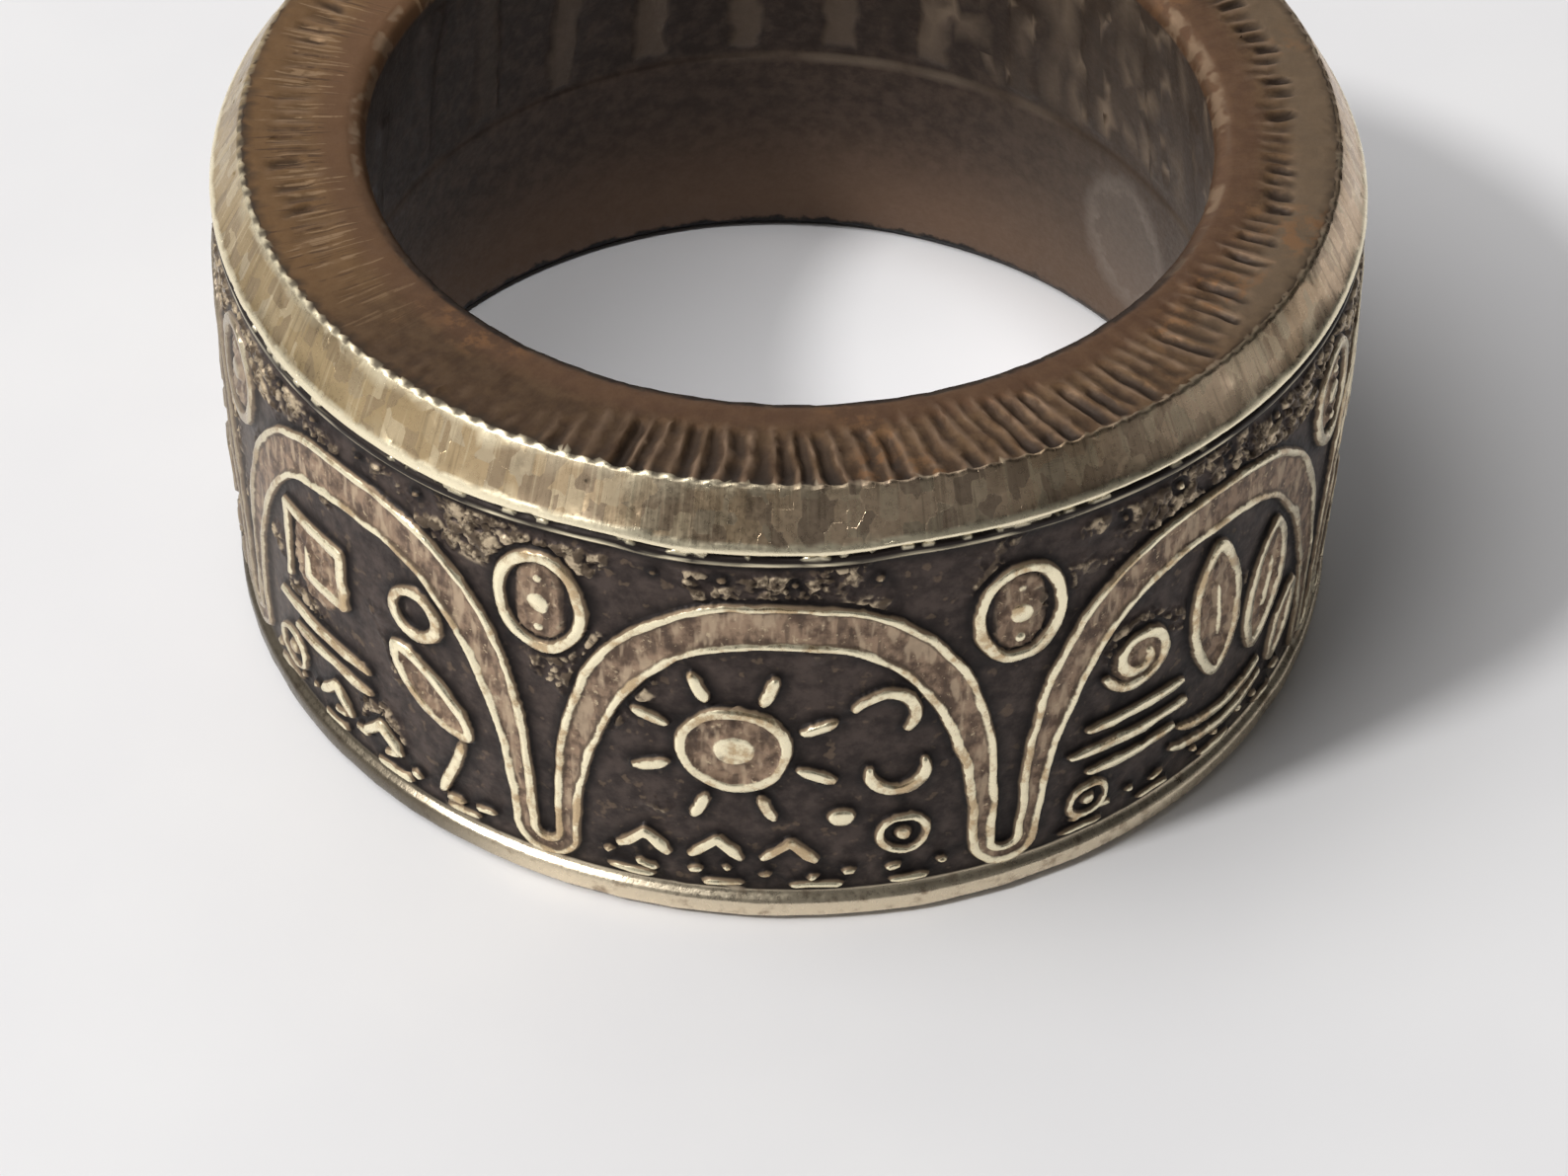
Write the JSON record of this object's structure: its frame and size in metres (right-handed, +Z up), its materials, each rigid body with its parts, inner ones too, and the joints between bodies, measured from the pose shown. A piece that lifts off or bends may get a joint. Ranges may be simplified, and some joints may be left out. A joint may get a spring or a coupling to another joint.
{
  "type": "coin ring",
  "caption": "Wide finger ring worked from a thick coin, with a reeded top face, a filed bevel, raised arcade relief on the band and a flared finger hollow.",
  "frame": {"origin": "centre of the flat base that the ring rests on", "axes": "+Z up along the finger's axis, towards the reeded face; the middle of one arch of the relief faces -Y"},
  "size_m": [0.0272, 0.0272, 0.0126],
  "materials": {
    "aged_brass": "satin, dark patina in the recesses and worn bright edges"
  },
  "bodies": {
    "root": {"ring_band": "aged_brass"}
  },
  "joints": []
}
